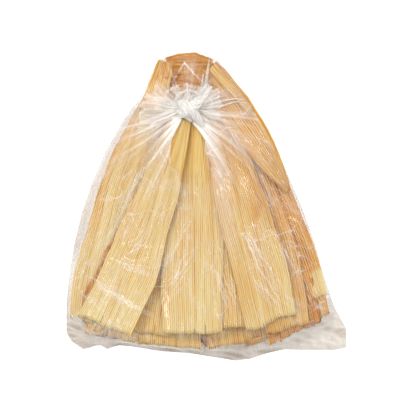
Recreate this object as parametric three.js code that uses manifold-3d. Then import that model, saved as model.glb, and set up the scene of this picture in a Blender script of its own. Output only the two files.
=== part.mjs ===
// A bundle of dried corn husks in a knotted clear film bag, lying on its back.
// Millimetres. +X is the bundle's right, +Y runs from the cut ends to the folded tips, and +Z is up, out of its
// front.
// The husks lie in nested layers, like the pages of a bent book, so no two of them touch.
import * as THREE from "three";
import { mergeVertices } from "three/addons/utils/BufferGeometryUtils.js";
import Module from "manifold-3d";

const wasm = await Module();
wasm.setup();

// ---- driving dimensions ----
const FAN_APEX = new THREE.Vector2(-24, 181); // where the husks' middle lines would meet, past the tips
const FAN_MIDDLE = THREE.MathUtils.degToRad(3.4); // the fan leans a little to the right
const FAN_HALF = THREE.MathUtils.degToRad(30); // from its middle to past its sides
const HUSK_THICK = 0.45; // a dry leaf folded on itself
const LAYER_PITCH = 1.8; // from one layer to the next, because dry husks are springy
const TIP_PACKING = 0.72; // the share of that pitch left at the folded tips
const SIDE_PACKING = 0.48; // and at the sides of the cut ends
const NECK_SIDE_PACKING = 0.82; // and at the sides of the tied neck
const NECK_REACH = 50; // from the apex to the tied neck, where the layers are closest
const OPEN_REACH = 190; // from the apex to where the fan is fully open
const CUT_REACH = 296; // from the apex to the cut ends
const TIP_REACH = 61; // from the apex to the folded tips
const INNER_LAYERS = 12; // three husks side by side, then two, and so on
const HUSK_STEP = THREE.MathUtils.degToRad(13.4); // from one husk to the next in a layer
const HUSK_DRIFT = THREE.MathUtils.degToRad(1.8); // how far a layer turns from the one below
const CUT_UNEVEN = 8; // how far the cut ends are out of line
const INNER_WIDTH = 58; // of an inner husk's cut end, at least
const WIDTH_SPREAD = 7; // and how much wider the widest is
const HALF_WAY_SHARE = 0.61; // of that width, half way along
const INNER_TIP_WIDTH = 11.5;
const FLOOR_AIR = 0.4; // under the lowest husk
const FILM_WALL = 0.6; // the film with its creases
const FILM_ROOM = 1.6; // air between the husks and the film

// ---- materials ----
const strawHusk = new THREE.MeshStandardMaterial({ color: 0xe6c98a, roughness: 0.55, metalness: 0 });
const amberHusk = new THREE.MeshStandardMaterial({ color: 0xc98f45, roughness: 0.55, metalness: 0 });
const clearFilm = new THREE.MeshStandardMaterial({
  color: 0xe9e4dc,
  roughness: 0.2,
  metalness: 0,
  transparent: true,
  opacity: 0.35,
});

// ---- the nested layers ----

// How loosely the layers lie at a place: fully apart in the middle, closer at the sides and at the tips.
function packingAt(x, y) {
  const angle = Math.atan2(x - FAN_APEX.x, FAN_APEX.y - y) - FAN_MIDDLE;
  const aside = (1 - Math.cos(Math.PI * Math.min(Math.abs(angle) / FAN_HALF, 1))) / 2;
  const reach = Math.hypot(x - FAN_APEX.x, FAN_APEX.y - y);
  const open = THREE.MathUtils.smoothstep(reach, NECK_REACH, OPEN_REACH);
  const atSide = THREE.MathUtils.lerp(NECK_SIDE_PACKING, SIDE_PACKING, open);
  return THREE.MathUtils.lerp(TIP_PACKING, 1, open) * (1 - (1 - atSide) * aside);
}

function layerHeight(layer, x, y) {
  return FILM_WALL + FLOOR_AIR + HUSK_THICK / 2 + layer * LAYER_PITCH * packingAt(x, y);
}

// ---- husks ----

// One leaf from the middle of its cut end to the middle of its other end. widths are at the cut end, half way and
// the other end, and bow is how far the leaf's middle line swings to its right half way.
function huskGeometry({ layer, cut, tip, widths, bow = 0, grid = [4, 8] }) {
  const geometry = new THREE.BoxGeometry(1, 1, HUSK_THICK, ...grid, 1);
  const start = new THREE.Vector2(...cut);
  const end = new THREE.Vector2(...tip);
  const along = end.clone().sub(start).normalize();
  const right = new THREE.Vector2(along.y, -along.x);
  const [atCut, halfWay, atTip] = widths;
  const position = geometry.getAttribute("position");
  for (let i = 0; i < position.count; i++) {
    const v = position.getY(i) + 0.5;
    const width = atCut * (1 - v) * (1 - 2 * v) + 4 * halfWay * v * (1 - v) + atTip * v * (2 * v - 1);
    const place = start.clone().lerp(end, v);
    place.addScaledVector(right, position.getX(i) * width + bow * 4 * v * (1 - v));
    position.setXYZ(i, place.x, place.y, layerHeight(layer, place.x, place.y) + position.getZ(i));
  }
  return geometry;
}

// A layer's husks lie side by side, each over the joint of two in the layer below, a little out of line.
function innerHusk(layer, place, inLayer) {
  const wander = (layer * 0.618) % 1;
  const angle = FAN_MIDDLE + HUSK_STEP * (place - (inLayer - 1) / 2) + HUSK_DRIFT * (wander - 0.5);
  const reach = CUT_REACH / Math.cos(angle) ** 0.8 - CUT_UNEVEN * ((layer * 0.382 + place * 0.271) % 1);
  const width = INNER_WIDTH + WIDTH_SPREAD * ((layer * 0.271 + place * 0.459) % 1);
  const direction = new THREE.Vector2(Math.sin(angle), -Math.cos(angle));
  return {
    layer,
    cut: FAN_APEX.clone().addScaledVector(direction, reach).toArray(),
    tip: FAN_APEX.clone().addScaledVector(direction, TIP_REACH + 3 * wander).toArray(),
    widths: [width, HALF_WAY_SHARE * width, INNER_TIP_WIDTH],
    bow: 3 * wander - 1.5,
    grid: [3, 6],
  };
}

// The husks that the front shows, from the deepest to the topmost.
const FRONT = INNER_LAYERS;
const FRONT_HUSKS = {
  husk_lower_centre: { layer: FRONT, cut: [-40, -116], tip: [-26, 121], widths: [67, 41, 11] },
  husk_lower_right: { layer: FRONT, cut: [32, -114], tip: [-8, 122], widths: [64, 41, 12] },
  husk_far_left: { layer: FRONT + 1, cut: [-99, -100], tip: [-35, 117], widths: [41, 40, 11], bow: -12 },
  husk_far_right: { layer: FRONT + 1, cut: [91, -97], tip: [2, 119], widths: [30, 31, 12], bow: 8 },
  husk_torn_strip: { layer: FRONT + 1, cut: [58, -115], tip: [39, -28], widths: [11, 13, 8] },
  husk_left_pale: { layer: FRONT + 2, cut: [-89, -99], tip: [-31, 119], widths: [40, 35, 12], bow: -9 },
  husk_right_amber: { layer: FRONT + 2, cut: [80, -105], tip: [-3, 119], widths: [36, 38, 12], bow: 9 },
  husk_centre_left: { layer: FRONT + 3, cut: [-55, -106], tip: [-22, 119], widths: [44, 34, 12] },
  husk_pale_stub: { layer: FRONT + 3, cut: [94, -77], tip: [8, 112], widths: [17, 22, 10], bow: 7 },
  husk_right_gold: { layer: FRONT + 4, cut: [67, -103], tip: [-6, 119], widths: [38, 42, 12], bow: 8 },
  husk_centre_right: { layer: FRONT + 5, cut: [15, -103], tip: [-9, 117], widths: [34, 34, 12], bow: 1 },
  husk_front_centre: { layer: FRONT + 6, cut: [-13, -106], tip: [-14, 117], widths: [50, 46, 12] },
  husk_front_right: { layer: FRONT + 7, cut: [54, -97], tip: [-4, 111], widths: [44, 42, 12], bow: 3 },
  husk_front_left: { layer: FRONT + 8, cut: [-87, -99], tip: [-16, 102], widths: [51, 38, 10], bow: 5 },
  husk_right_flap: { layer: FRONT + 8, cut: [2, 111], tip: [69, 14], widths: [20, 26, 4], bow: 0.5 },
  husk_crosswise_low: { layer: FRONT + 9, cut: [-40, 103], tip: [10, 96], widths: [17, 20, 12] },
  husk_crosswise_top: { layer: FRONT + 10, cut: [-36, 117], tip: [3, 116.5], widths: [15, 21, 12] },
  husk_left_tip: { layer: FRONT + 11, cut: [-49, 84], tip: [-35, 121.5], widths: [20, 18, 12], bow: 1 },
  husk_right_strip: { layer: FRONT + 11, cut: [37, 81], tip: [3, 119], widths: [5, 6, 7] },
};
const AMBER = new Set(["husk_far_right", "husk_right_amber", "husk_torn_strip", "husk_crosswise_low"]);

// ---- the film bag ----

// The bag's left and right edges going up the bundle, and its hem going across, each as [x, y] points.
const LEFT_EDGE = [
  [-116, -126], [-122.5, -113], [-122.5, -83], [-118, -40], [-107, 5], [-91, 45], [-79, 67],
  [-70, 83], [-60, 95], [-53.5, 104], [-49.5, 115], [-41, 127], [-27, 131.4],
];
const RIGHT_EDGE = [
  [122, -126], [122.4, -113], [112, -94], [102.5, -64], [93, -31], [84.5, -6], [74, 18], [62, 47],
  [54, 62], [46, 77], [33.5, 98], [19.5, 115], [7, 127], [-3, 131.4],
];
const HEM = [
  [-122, -115], [-104, -121.5], [-90, -119.5], [-54, -120.5], [-3, -127], [23, -131.4],
  [48, -126.5], [72, -123], [122, -122],
];
const STATIONS = [-126, -121.5, -118.5, -108, -88, -60, -32, -4, 24, 50, 74, 96, 113, 124, 130, 131.4];
const CUT_ENDS_Y = -117.5; // past the longest husk the film has nothing in it
const FLAT_Y = -123; // and here its two sides have come together
const HEM_CURVES = [116, 126]; // below these the lines across the bag bend to follow its hem
const MOUTH_CURVES = [124, 131]; // where the skin closes over the tips
const NECK_RISE = [15, 75]; // where the film climbs onto the husks round the knot
const SHOULDER = [126, 134]; // where it comes down over the tips
const SHOULDER_DROP = 0.25;
const SIDE_ROUNDING = 1.6;
const HEM_THICK = 1.6; // two sides of the film with their creases
const HEM_SEAL = 4; // where those two sides lie together
const TOP_AT_NECK = FRONT + 11.3; // the topmost layer under the film, round the tips
const TOP_BELOW = FRONT + 8; // and over the rest of the fan

// A smooth line through points, read at a place along one axis to give the place along the other.
function lineThrough(points, key, value) {
  const curve = new THREE.SplineCurve(points.map(([x, y]) => new THREE.Vector2(x, y)));
  const dots = curve.getPoints(points.length * 8);
  return (at) => {
    const next = dots.findIndex((dot) => dot[key] >= at);
    if (next < 1) return dots.at(next)[value];
    const [low, high] = [dots[next - 1], dots[next]];
    return THREE.MathUtils.mapLinear(at, low[key], high[key], low[value], high[value]);
  };
}

const leftEdge = lineThrough(LEFT_EDGE, "y", "x");
const rightEdge = lineThrough(RIGHT_EDGE, "y", "x");
const hemLine = lineThrough(HEM, "x", "y");

function filmHeight(x, y) {
  const top = THREE.MathUtils.lerp(TOP_BELOW, TOP_AT_NECK, THREE.MathUtils.smoothstep(y, ...NECK_RISE));
  const full = layerHeight(top, x, Math.max(y, CUT_ENDS_Y)) + HUSK_THICK / 2 + FILM_ROOM + FILM_WALL;
  const shoulder = 1 - SHOULDER_DROP * THREE.MathUtils.smoothstep(y, ...SHOULDER);
  return THREE.MathUtils.lerp(HEM_THICK, full * shoulder, THREE.MathUtils.smoothstep(y, FLAT_Y, CUT_ENDS_Y));
}

// The bag's closed skin, pulled in by inset: a box whose faces are bent to the bag's front, back and edges.
function bagSkin(inset) {
  const geometry = new THREE.BoxGeometry(1, 1, 1, 10, STATIONS.length - 1, 2);
  const position = geometry.getAttribute("position");
  for (let i = 0; i < position.count; i++) {
    const station = STATIONS[Math.round((position.getY(i) + 0.5) * (STATIONS.length - 1))];
    const level = position.getZ(i) * 2;
    const edge = inset + SIDE_ROUNDING * Math.abs(level);
    const [left, right] = [leftEdge(station) + edge, rightEdge(station) - edge];
    const x = THREE.MathUtils.lerp(left, right, position.getX(i) + 0.5);
    const toHem = THREE.MathUtils.smoothstep(-station, ...HEM_CURVES);
    const seal = inset > 0 ? HEM_SEAL : 0;
    const atTip = THREE.MathUtils.smoothstep(station, ...MOUTH_CURVES);
    const y = THREE.MathUtils.lerp(station, hemLine(x) + seal, toHem) - inset * atTip;
    const top = filmHeight(x, station) - inset;
    position.setXYZ(i, x, y, THREE.MathUtils.lerp(inset, top, (level + 1) / 2));
  }
  return geometry;
}

function solidOf(geometry) {
  const bare = geometry.clone().deleteAttribute("normal").deleteAttribute("uv");
  const merged = mergeVertices(bare, 1e-3);
  const vertProperties = merged.getAttribute("position").array;
  const triVerts = new Uint32Array(merged.index.array);
  return new wasm.Manifold(new wasm.Mesh({ numProp: 3, vertProperties, triVerts }));
}

function geometryOf(solid) {
  const { vertProperties, triVerts } = solid.getMesh();
  const geometry = new THREE.BufferGeometry();
  geometry.setAttribute("position", new THREE.BufferAttribute(vertProperties, 3));
  return geometry.setIndex(new THREE.BufferAttribute(triVerts, 1));
}

// The bare place under the knot, where the bag's two sides part: a rounded wedge.
const WINDOW = [[-21, 78], [-30, 62], [-32, 42], [-25, 27], [-13, 25], [-3, 38], [-4, 56], [-12, 70]];
const UNDER_WINDOW = 16; // the cut starts among the husks, above the bag's back
const WINDOW_CUT_DEEP = 60;

function windowCutter() {
  const [first, ...others] = WINDOW.map(([x, y]) => new THREE.Vector2(x, y));
  const shape = new THREE.Shape().moveTo(first.x, first.y).splineThru(others);
  shape.closePath();
  const extrusion = { depth: WINDOW_CUT_DEEP, bevelEnabled: false, curveSegments: 2 };
  return new THREE.ExtrudeGeometry(shape, extrusion).translate(0, 0, UNDER_WINDOW);
}

// The open mouth at the tips.
const MOUTH_SIZE = [24, 12, 11];
const MOUTH_MIDDLE = [-19, 131, 12];

function mouthCutter() {
  return new THREE.BoxGeometry(...MOUTH_SIZE).translate(...MOUTH_MIDDLE);
}

// The overhand knot in the bag's two sides, with the gathered ends that stand out of it.
const KNOT = new THREE.Vector3(-17, 82, 0);
KNOT.z = filmHeight(KNOT.x, KNOT.y);
const CORE = [11.5, 10, 9]; // half its size each way
const WRAP = { ring: 8.2, rope: 3.4 }; // the turn of film round the core
const SMALL_WRAP = { ring: 6.2, rope: 2.8 };
const LEFT_EAR = { end: 17, root: 6, length: 32, flat: 0.22 }; // half widths, and its thickness as a share
const RIGHT_EAR = { end: 11, root: 5, length: 20, flat: 0.3 };
const FOLD = [19, 10, 4.5]; // the film doubled above the core, half its size each way

function earGeometry({ end, root, length, flat }, turn) {
  return new THREE.CylinderGeometry(end, root, length, 10).scale(1, 1, flat).rotateZ(turn);
}

function knotPieces() {
  const core = new THREE.SphereGeometry(1, 12, 8).scale(...CORE).translate(0, 0, 3);
  const wrap = new THREE.TorusGeometry(WRAP.ring, WRAP.rope, 6, 12).rotateY(0.5).rotateX(-0.4);
  const smallWrap = new THREE.TorusGeometry(SMALL_WRAP.ring, SMALL_WRAP.rope, 6, 10).rotateY(-0.9).rotateZ(0.5);
  const leftEar = earGeometry(LEFT_EAR, Math.PI / 2).translate(-20, 3, 1.5);
  const rightEar = earGeometry(RIGHT_EAR, -0.95).translate(15, 8, 1.5);
  const fold = new THREE.SphereGeometry(1, 12, 6).scale(...FOLD).translate(-1, 11, 2);
  const turns = [wrap.translate(0, 0, 6), smallWrap.translate(3, 1, 7)];
  return [core, ...turns, leftEar, rightEar, fold].map((piece) => piece.translate(...KNOT.toArray()));
}

function bagGeometry() {
  let bag = solidOf(bagSkin(0)).subtract(solidOf(windowCutter()));
  for (const piece of knotPieces()) bag = bag.add(solidOf(piece));
  return geometryOf(bag.subtract(solidOf(bagSkin(FILM_WALL))).subtract(solidOf(mouthCutter())));
}

// ---- the bundle ----

const bundle = new THREE.Group();

function add(name, geometry, material) {
  const mesh = new THREE.Mesh(geometry, material);
  mesh.name = name;
  bundle.add(mesh);
}

let count = 0;
for (let layer = 0; layer < INNER_LAYERS; layer++) {
  const inLayer = layer % 2 === 0 ? 2 : 3;
  for (let place = 0; place < inLayer; place++) {
    count += 1;
    const name = `husk_inner_${String(count).padStart(2, "0")}`;
    add(name, huskGeometry(innerHusk(layer, place, inLayer)), strawHusk);
  }
}
for (const [name, husk] of Object.entries(FRONT_HUSKS)) {
  add(name, huskGeometry(husk), AMBER.has(name) ? amberHusk : strawHusk);
}
add("bag", bagGeometry(), clearFilm);

export default bundle;
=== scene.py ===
"""A bundle of dried corn husks in a knotted clear film bag, lying on its back.

The husks' fan, their layers and the bag's outline are the CAD model's own: the driving dimensions below repeat its,
in millimetres, and every piece takes the place of the CAD node that it is named for.
"""

import logging
import math
from dataclasses import dataclass, field
from enum import Enum

import bmesh
import bpy
import numpy as np
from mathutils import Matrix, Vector, noise
from mathutils.bvhtree import BVHTree


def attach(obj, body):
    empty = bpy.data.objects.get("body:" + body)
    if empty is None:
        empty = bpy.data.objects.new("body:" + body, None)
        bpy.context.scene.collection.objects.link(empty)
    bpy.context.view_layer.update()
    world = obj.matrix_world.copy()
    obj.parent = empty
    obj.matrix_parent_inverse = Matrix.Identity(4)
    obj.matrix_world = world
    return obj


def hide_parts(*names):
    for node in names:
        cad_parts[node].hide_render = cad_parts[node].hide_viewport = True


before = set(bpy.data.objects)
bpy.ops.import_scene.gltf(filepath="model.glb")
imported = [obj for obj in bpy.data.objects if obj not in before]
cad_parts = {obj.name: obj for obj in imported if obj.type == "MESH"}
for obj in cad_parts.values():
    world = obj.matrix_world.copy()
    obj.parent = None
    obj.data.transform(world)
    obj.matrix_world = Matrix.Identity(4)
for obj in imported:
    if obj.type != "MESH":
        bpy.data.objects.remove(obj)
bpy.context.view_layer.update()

logging.basicConfig(level=logging.INFO, format="%(message)s")
LOG = logging.getLogger("husks")

MM = 0.001  # metres in a millimetre
WAVE_PERIOD = math.pi / 10  # the wave texture's own period at a scale of 1
ROOT = "root"


class Slot(Enum):
    """The record's material slots."""

    STRAW = "husk_straw"
    AMBER = "husk_amber"
    FILM = "film_clear"


# ---- small helpers ----


def linear(hex_colour: str) -> tuple[float, float, float, float]:
    """Turns an sRGB hex colour to linear light.

    Args:
        hex_colour: Six hex digits.

    Returns:
        Red, green, blue and an alpha of 1.
    """
    shares = [int(hex_colour[i : i + 2], 16) / 255 for i in (0, 2, 4)]
    red, green, blue = (c / 12.92 if c <= 0.04045 else ((c + 0.055) / 1.055) ** 2.4 for c in shares)
    return red, green, blue, 1.0


def add_node(tree: bpy.types.NodeTree, kind: str, settings: dict | None = None, **links: object) -> bpy.types.Node:
    """Adds a shader node with its settings and links.

    Args:
        tree: The material's node tree.
        kind: The node's type.
        settings: Attribute values by attribute name, and socket values by socket index or name.
        links: Input names, with spaces as underscores, to what feeds them: a socket, a node's first output or a
            value. An input without a name of its own is i and its index.

    Returns:
        The new node.
    """
    node = tree.nodes.new(kind)
    for key, value in (settings or {}).items():
        if isinstance(key, str) and hasattr(node, key):
            setattr(node, key, value)
        else:
            node.inputs[key].default_value = value
    for key, source in links.items():
        name = key.replace("_", " ")
        target = node.inputs[int(name[1:])] if name[0] == "i" and name[1:].isdigit() else node.inputs[name]
        if isinstance(source, bpy.types.Node):
            source = source.outputs[0]
        if isinstance(source, bpy.types.NodeSocket):
            tree.links.new(source, target)
        else:
            target.default_value = source
    return node


def smooth_step(value: float, low: float, high: float) -> float:
    """Goes from 0 at low to 1 at high with no corners."""
    share = min(max((value - low) / (high - low), 0.0), 1.0)
    return share * share * (3 - 2 * share)


def mix(a: float, b: float, share: float) -> float:
    """Goes from a to b as share goes from 0 to 1."""
    return a + (b - a) * share


def wander(x: float, y: float, seed: float) -> float:
    """Smooth noise from about -1 to 1 over a plane."""
    return noise.noise(Vector((x, y, seed * 7.31)))


def new_object(name: str, mesh_maker: bmesh.types.BMesh, material: bpy.types.Material) -> bpy.types.Object:
    """Makes an object of a bmesh, smooth shaded and dressed, and frees the bmesh.

    Args:
        name: The piece's name.
        mesh_maker: The finished bmesh, in metres.
        material: Its only material.

    Returns:
        The new object, at the origin.
    """
    mesh = bpy.data.meshes.new(name)
    for face in mesh_maker.faces:
        face.smooth = True
    mesh_maker.to_mesh(mesh)
    mesh_maker.free()
    mesh.materials.append(material)
    piece = bpy.data.objects.new(name, mesh)
    bpy.context.scene.collection.objects.link(piece)
    return piece


# ---- the fan that the husks lie in ----


@dataclass
class Fan:
    """The nested layers of the bundle: husks spread from an apex above their folded tips."""

    apex: tuple[float, float] = (-24.0, 181.0)
    middle: float = math.radians(3.4)
    half: float = math.radians(30.0)
    floor_gap: float = 1.0
    husk_thick: float = 0.45
    pitch: float = 1.8
    tip_packing: float = 0.72
    side_packing: float = 0.48
    neck_side_packing: float = 0.82
    cut_reach: float = 296.0
    tip_reach: float = 61.0
    inner_layers: int = 12
    husk_step: float = math.radians(13.4)

    def packing(self, x: float, y: float) -> float:
        """The share of the full pitch that the layers keep at a place.

        Args:
            x: Across the bundle, in millimetres.
            y: Up the bundle.

        Returns:
            The share, which is less at the tips and at the sides, where the leaves are thin.
        """
        angle = math.atan2(x - self.apex[0], self.apex[1] - y) - self.middle
        aside = (1 - math.cos(math.pi * min(abs(angle) / self.half, 1))) / 2
        spread = smooth_step(math.hypot(x - self.apex[0], self.apex[1] - y), 50, 190)
        at_side = mix(self.neck_side_packing, self.side_packing, spread)
        return mix(self.tip_packing, 1, spread) * (1 - (1 - at_side) * aside)

    def height(self, layer: float, x: float, y: float) -> float:
        """The height of a layer's middle surface above the table."""
        return self.floor_gap + self.husk_thick / 2 + layer * self.pitch * self.packing(x, y)


# ---- husks ----


@dataclass(frozen=True)
class HuskFinish:
    """Dried corn husk: a maize leaf sheath, sun dried and trimmed.

    Parallel veins about a millimetre apart run from the cut end to the tip. The dry leaf is satin, cream where it grew
    in the shade of the other leaves and amber to brown where it was outside.
    """

    colours: tuple[tuple[float, str], ...] = (
        (0.0, "dfd5aa"),
        (0.28, "d8c285"),
        (0.45, "d1a95d"),
        (0.65, "c9862f"),
        (0.88, "98581a"),
        (1.0, "623813"),
    )
    vein_spacing: float = 1.7  # mm
    vein_depth: float = 0.3  # mm
    vein_contrast: float = 0.48  # how much browner a vein is than the leaf beside it, as shares of the colours
    fibre_contrast: float = 0.12
    patch_contrast: float = 0.035
    roughness: float = 0.5
    ior: float = 1.45

    def material(self) -> bpy.types.Material:
        """Makes the material, which reads the husk's own UV map in millimetres and its tint attribute.

        Returns:
            The new material.
        """
        made = bpy.data.materials.new("dried_corn_husk_sun_dried")
        made.use_nodes = True
        tree = made.node_tree
        tree.nodes.clear()
        across_and_along = add_node(tree, "ShaderNodeUVMap", {"uv_map": "leaf"}).outputs["UV"]
        tint = add_node(tree, "ShaderNodeAttribute", {"attribute_name": "tint"}).outputs["Fac"]

        # Streaks: long fibres that are paler or browner than their neighbours.
        stretched = add_node(tree, "ShaderNodeMapping", Vector=across_and_along, Scale=(1.2, 0.02, 1.0))
        streaks = add_node(tree, "ShaderNodeTexNoise", {"noise_dimensions": "2D"}, Vector=stretched,
                           Scale=1.0, Detail=5.0, Roughness=0.62)
        broad = add_node(tree, "ShaderNodeMapping", Vector=across_and_along, Scale=(0.07, 0.02, 1.0))
        patches = add_node(tree, "ShaderNodeTexNoise", {"noise_dimensions": "2D"}, Vector=broad,
                           Scale=1.0, Detail=2.0)
        streak_part = add_node(tree, "ShaderNodeMapRange", Value=streaks.outputs["Fac"], From_Min=0.25, From_Max=0.75,
                               To_Min=-self.fibre_contrast, To_Max=self.fibre_contrast)
        patch_part = add_node(tree, "ShaderNodeMapRange", Value=patches.outputs["Fac"], From_Min=0.25, From_Max=0.75,
                              To_Min=-self.patch_contrast, To_Max=self.patch_contrast)
        first_sum = add_node(tree, "ShaderNodeMath", {"operation": "ADD"}, i0=tint, i1=streak_part)
        whole = add_node(tree, "ShaderNodeMath", {"operation": "ADD"}, i0=first_sum,
                         i1=patch_part)

        # Veins: raised parallel lines, each of its own strength, and a little darker than the leaf between them.
        bent = add_node(tree, "ShaderNodeTexWave", {"bands_direction": "X", "wave_profile": "SIN"},
                        Vector=across_and_along, Scale=WAVE_PERIOD / self.vein_spacing, Distortion=1.6, Detail=1.0,
                        Detail_Scale=0.15)
        kept = add_node(tree, "ShaderNodeMath", {"operation": "MULTIPLY"}, i0=bent.outputs["Fac"],
                        i1=streaks.outputs["Fac"])
        fine = add_node(tree, "ShaderNodeMath", {"operation": "MULTIPLY_ADD"}, i0=streaks.outputs["Fac"], i1=1.8,
                        i2=kept)
        veined = add_node(tree, "ShaderNodeMath", {"operation": "MULTIPLY_ADD"}, i0=kept, i1=self.vein_contrast,
                          i2=whole)
        ramp = add_node(tree, "ShaderNodeValToRGB", Fac=veined)
        elements = ramp.color_ramp.elements
        elements[0].position, elements[0].color = self.colours[0][0], linear(self.colours[0][1])
        elements[1].position, elements[1].color = self.colours[-1][0], linear(self.colours[-1][1])
        for position, colour in self.colours[1:-1]:
            elements.new(position).color = linear(colour)
        relief = add_node(tree, "ShaderNodeBump", Height=fine, Strength=1.0,
                          Distance=self.vein_depth * MM)
        rough = add_node(tree, "ShaderNodeMapRange", Value=streaks.outputs["Fac"], From_Min=0.3, From_Max=0.7,
                         To_Min=self.roughness - 0.1, To_Max=self.roughness + 0.12)
        shader = add_node(tree, "ShaderNodeBsdfPrincipled", {"IOR": self.ior}, Base_Color=ramp,
                          Roughness=rough, Normal=relief)
        add_node(tree, "ShaderNodeOutputMaterial", Surface=shader)
        return made


@dataclass
class Husk:
    """One dried leaf, from the middle of its cut end to the middle of its other end, in millimetres."""

    name: str
    layer: float
    cut: tuple[float, float]
    tip: tuple[float, float]
    widths: tuple[float, float, float]
    bow: float = 0.0
    tint: tuple[float, float] = (0.3, 0.45)  # at the cut end and at the other end
    curl: tuple[float, float] = (0.0, 0.0)  # how far its left and right edges stand up
    dome: float = 0.0  # how far its middle stands over its edges
    splits: int = 2  # tears between veins at the cut end
    stains_and_shade_marks: tuple = ()  # stains, tone patches and dark lines that paint the shade in slits between husks: where each starts and ends, its half width and how much browner it is
    wrinkle: float = 0.0  # mm, for a leaf that dried crumpled
    strips: float = 0.5  # mm that each of its long folds stands over the next
    grain: float = 1.0  # how much closer its veins are than on the others
    thick: float = 0.28
    columns: int = 96
    rows: int = 60
    seed: int = 0

    def width(self, v: float) -> float:
        """The leaf's width at a share v of its length."""
        at_cut, half_way, at_tip = self.widths
        return at_cut * (1 - v) * (1 - 2 * v) + 4 * half_way * v * (1 - v) + at_tip * v * (2 * v - 1)

    def place(self, fan: Fan, u: float, v: float) -> Vector:
        """The point of the leaf's middle surface at u across, from -0.5 to 0.5, and v along.

        Args:
            fan: The layers that the leaf lies in.
            u: From the left edge to the right edge.
            v: From the cut end, 0, to the other end, 1.

        Returns:
            The point, in millimetres.
        """
        start, end = Vector((*self.cut, 0)), Vector((*self.tip, 0))
        along = (end - start).normalized()
        right = Vector((along.y, -along.x, 0))
        length = (end - start).length
        width = self.width(v)
        ragged = 1 + 0.12 * wander(v * 4, 3 if u > 0 else 9, self.seed) + 0.03 * wander(v * 19, u, self.seed + 2)
        across = u * width * ragged + self.bow * 4 * v * (1 - v)
        trim = (1 - v) ** 6 * (3.5 * wander(u * 2.5, 1, self.seed) + 1.2 * wander(u * 9, 5, self.seed)
                               + 0.7 * wander(u * 33, 7, self.seed))
        point = start + along * (v * length + trim) + right * across
        edge = abs(2 * u)
        lift = self.curl[0] * max(0.0, -2 * u) ** 4 + self.curl[1] * max(0.0, 2 * u) ** 4
        lift *= 0.7 + 0.5 * wander(v * 3, 2 * u, self.seed + 5)
        folds = 1.5 * wander(point.x / 26 + u * 1.2, point.y / 75, self.layer * 0.16)
        creases = 1 - 2 * abs(wander(u * self.widths[0] / 9, v * 1.3, self.seed + 1))
        ribs = math.cos(2 * math.pi * u * self.widths[0] / 1.9 + 2.5 * wander(u * 4, v * 1.5, self.seed + 3))
        ribs *= 0.1 + 0.1 * wander(u * 6, v * 4, self.seed + 6)
        cross = 0.14 * wander(point.x / 9, point.y / 5, self.seed + 4) * (1 - v)
        crumple = 1 - 2.5 * abs(wander(u * width / 7, v * length / 24, self.seed + 9))
        crumple += 0.5 * wander(u * width / 2.6, v * length / 7, self.seed + 10)
        strip = self._strip(u, v)
        overlap = strip - smooth_step(strip, 0.86, 1.0)
        relief = folds + 0.45 * creases + ribs + cross + self.wrinkle * crumple + self.strips * overlap
        point.z = fan.height(self.layer, point.x, point.y) + self.dome * (1 - edge * edge) + lift + relief
        return point

    def _strip(self, u: float, v: float) -> float:
        """How far across one of its long folded strips a place is, from 0 to 1."""
        return (u * self.width(v) / 13 + 1.3 * wander(u * 3.1, v * 1.1, self.seed + 13) + 0.37 * self.seed) % 1

    def build(self, fan: Fan, material: bpy.types.Material) -> bpy.types.Object:
        """Makes the leaf as a grid bent to its place, split at its cut end and given its thickness.

        Args:
            fan: The layers that the leaf lies in.
            material: The husk material.

        Returns:
            The finished piece.
        """
        shape = bmesh.new()
        leaf = shape.loops.layers.uv.new("leaf")
        bmesh.ops.create_grid(shape, x_segments=self.columns, y_segments=self.rows, size=0.5, calc_uvs=True)
        tint = shape.verts.layers.float.new("tint")
        length = math.dist(self.cut, self.tip)
        for face in shape.faces:
            for loop in face.loops:
                u, v = loop.vert.co.x, loop.vert.co.y + 0.5
                loop[leaf].uv = (u * self.widths[0] * self.grain + 131 * self.seed, v * length + 57 * self.seed)
        self._tear(shape)
        for vertex in shape.verts:
            u, v = vertex.co.x, vertex.co.y + 0.5
            point = self.place(fan, u, v)
            vertex[tint] = self._tint(u, v, point)
            vertex.co = point * MM
        piece = new_object(self.name, shape, material)
        thick = piece.modifiers.new("leaf_thickness", "SOLIDIFY")
        thick.thickness = self.thick * MM
        thick.offset = 0.0
        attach(piece, ROOT)
        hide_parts(self.name)
        return piece

    def _tear(self, shape: bmesh.types.BMesh) -> None:
        """Opens narrow splits between veins at the cut end.

        Args:
            shape: The leaf while it is still a flat unit square.
        """
        doomed = []
        for split in range(self.splits):
            place = 0.5 + 0.42 * wander(split * 3.7, 1.3, self.seed + 11)
            column = int(place * self.columns + split * 7) % self.columns
            depth = (0.015 + 0.04 * abs(wander(split * 5.1, 2.9, self.seed + 12))) - 0.5
            left, right = column / self.columns - 0.5, (column + 1) / self.columns - 0.5
            doomed += [
                face for face in shape.faces
                if left < face.calc_center_median().x < right and face.calc_center_median().y < depth
            ]
        bmesh.ops.delete(shape, geom=list(set(doomed)), context="FACES")

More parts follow.
